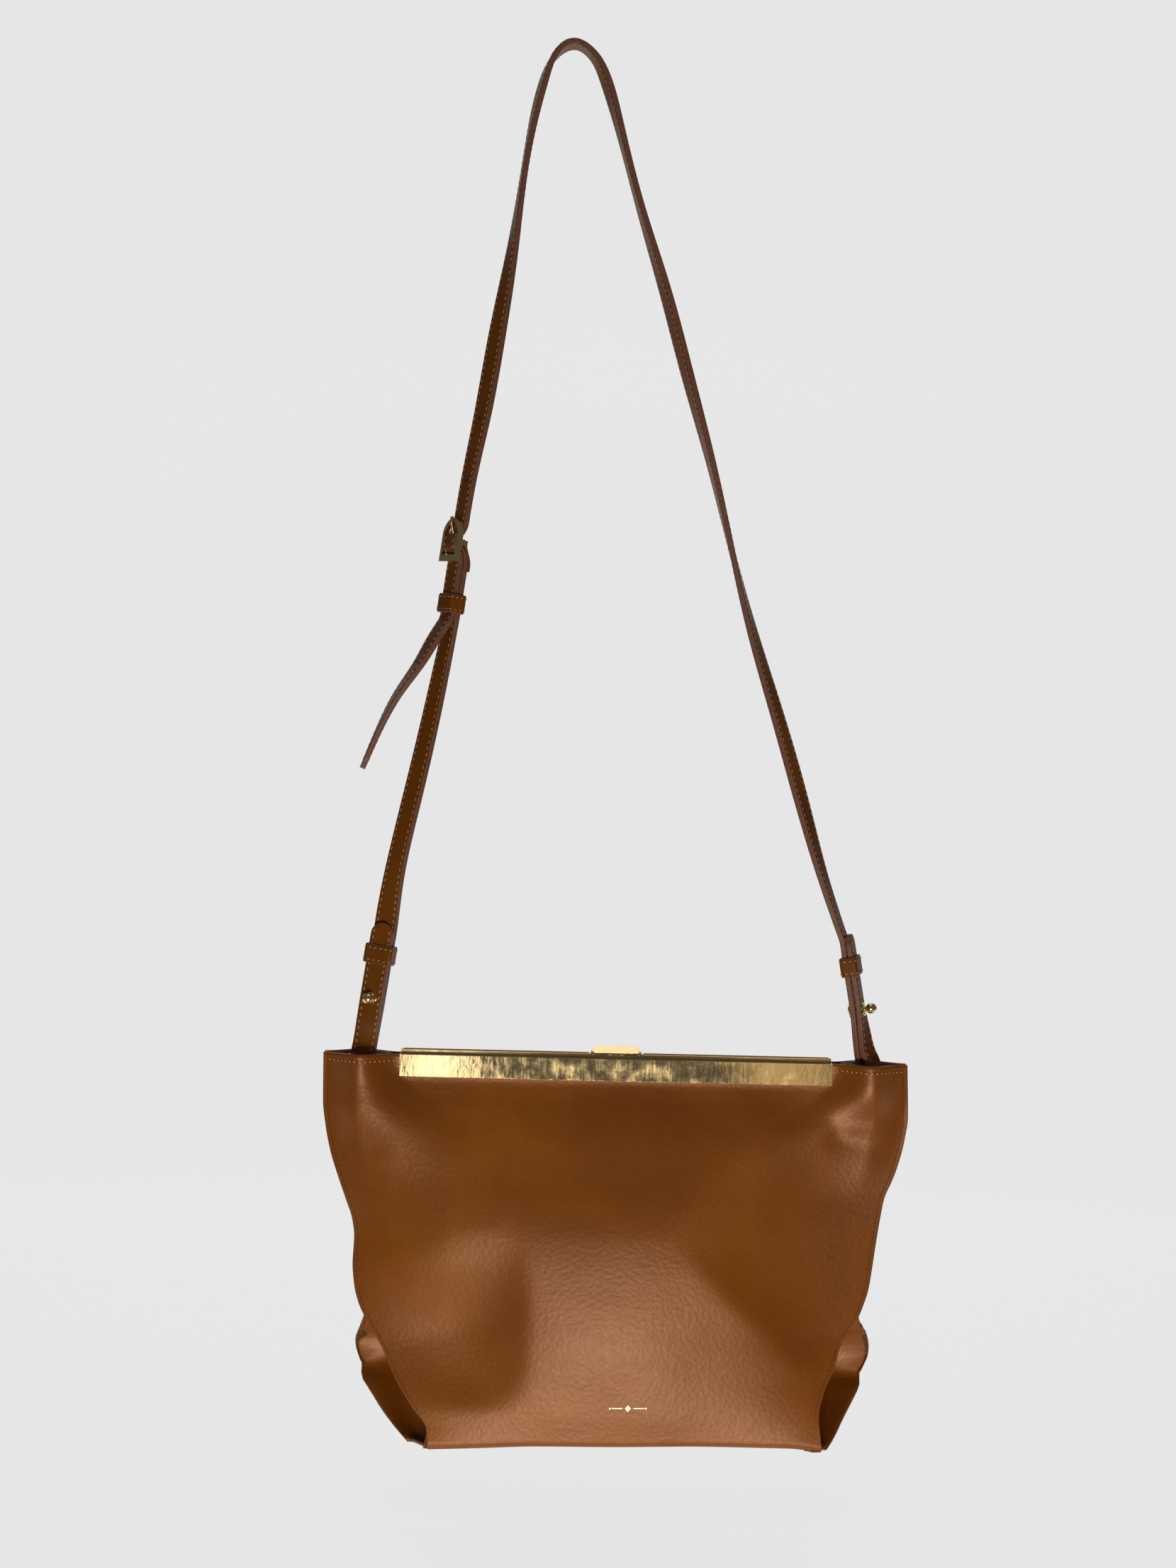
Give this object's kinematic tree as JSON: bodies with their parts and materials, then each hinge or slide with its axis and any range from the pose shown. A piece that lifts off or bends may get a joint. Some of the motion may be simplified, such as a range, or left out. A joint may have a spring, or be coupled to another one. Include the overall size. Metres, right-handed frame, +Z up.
{
  "type": "leather shoulder bag",
  "caption": "Tan leather crossbody bag with folded sides, a metal bar frame mouth with a lift clasp, and a long adjustable strap that hangs it.",
  "frame": {"origin": "the middle of the strap's underside at its crown, where a hook or a shoulder carries it", "axes": "+Z up along the hanging bag, +X along the bag's width to its right seen from the front, -Y out of the front"},
  "size_m": [0.321, 0.079, 0.7639],
  "materials": {
    "bag_leather": "smooth, fine grain",
    "strap_leather": "smooth, stitched",
    "lining": "suede",
    "stiffener": "matte board",
    "gold_hardware": "polished",
    "steel_fastener": "plated"
  },
  "bodies": {
    "strap": {"long_strap": "strap_leather", "short_strap": "strap_leather", "left_ring": "gold_hardware", "right_ring": "gold_hardware", "left_stud_head": "gold_hardware", "left_stud_base": "gold_hardware", "right_stud_head": "gold_hardware", "right_stud_base": "gold_hardware"},
    "buckle": {"buckle_frame": "gold_hardware"},
    "prong": {"buckle_prong": "gold_hardware"},
    "tail_slider": {"tail_keeper": "strap_leather"},
    "left_slider": {"left_keeper": "strap_leather"},
    "right_slider": {"right_keeper": "strap_leather"},
    "bag": {"base_panel": "bag_leather", "base_board": "stiffener", "base_lining": "lining", "left_gusset": "bag_leather", "right_gusset": "bag_leather", "left_ring_tab": "bag_leather", "right_ring_tab": "bag_leather"},
    "front_half": {"front_panel": "bag_leather", "front_lining": "lining", "front_rim_facings": "bag_leather", "front_bar": "gold_hardware", "front_bar_packing": "stiffener", "front_bar_screws": "steel_fastener", "clasp_catch": "gold_hardware"},
    "back_half": {"back_panel": "bag_leather", "back_lining": "lining", "back_rim_facings": "bag_leather", "slip_pocket": "lining", "pocket_trim": "bag_leather", "back_bar": "gold_hardware", "back_bar_packing": "stiffener", "back_bar_screws": "steel_fastener", "clasp_bracket": "gold_hardware", "clasp_pin": "steel_fastener", "clasp_spring": "steel_fastener"},
    "clasp": {"clasp_lever": "gold_hardware"}
  },
  "joints": [
    {"name": "bag_swing", "type": "hinge", "parent": "strap", "child": "bag", "pos_m": [0.036, 0, -0.5694], "axis": [1, 0, 0], "range_deg": [-10, 10]},
    {"name": "front_open", "type": "hinge", "parent": "bag", "child": "front_half", "pos_m": [0.036, -0.0385, -0.7615], "axis": [1, 0, 0], "range_deg": [0, 6.6], "deforming": ["left_gusset", "right_gusset"]},
    {"name": "back_open", "type": "hinge", "parent": "bag", "child": "back_half", "pos_m": [0.036, 0.0385, -0.7615], "axis": [1, 0, 0], "range_deg": [-6.6, 0]},
    {"name": "clasp_lift", "type": "hinge", "parent": "back_half", "child": "clasp", "pos_m": [0.036, 0.005, -0.5541], "axis": [-1, 0, 0], "range_deg": [0, 25], "stiffness_Nm_per_rad": 0.01, "springref_deg": -17.19},
    {"name": "buckle_tilt", "type": "hinge", "parent": "strap", "child": "buckle", "pos_m": [-0.05773, 0.00008, -0.27522], "axis": [0.5365, -0.8409, -0.0715], "range_deg": [-2, 3]},
    {"name": "prong_lift", "type": "hinge", "parent": "buckle", "child": "prong", "pos_m": [-0.05773, 0.00008, -0.27522], "axis": [0.5365, -0.8409, -0.0715], "range_deg": [0, 5]},
    {"name": "tail_keeper_slide", "type": "slide", "parent": "strap", "child": "tail_slider", "axis": [0.1322, 0, 0.9912], "range_m": [-0.003, 0.011]},
    {"name": "left_keeper_slide", "type": "slide", "parent": "strap", "child": "left_slider", "axis": [0.1433, 0, 0.9897], "range_m": [-0.01, 0.008]},
    {"name": "right_keeper_slide", "type": "slide", "parent": "strap", "child": "right_slider", "axis": [-0.177, 0, 0.9842], "range_m": [-0.01, 0.008]}
  ],
  "couplings": [
    {"joint": "back_open", "follows": "front_open", "ratio": -1}
  ]
}
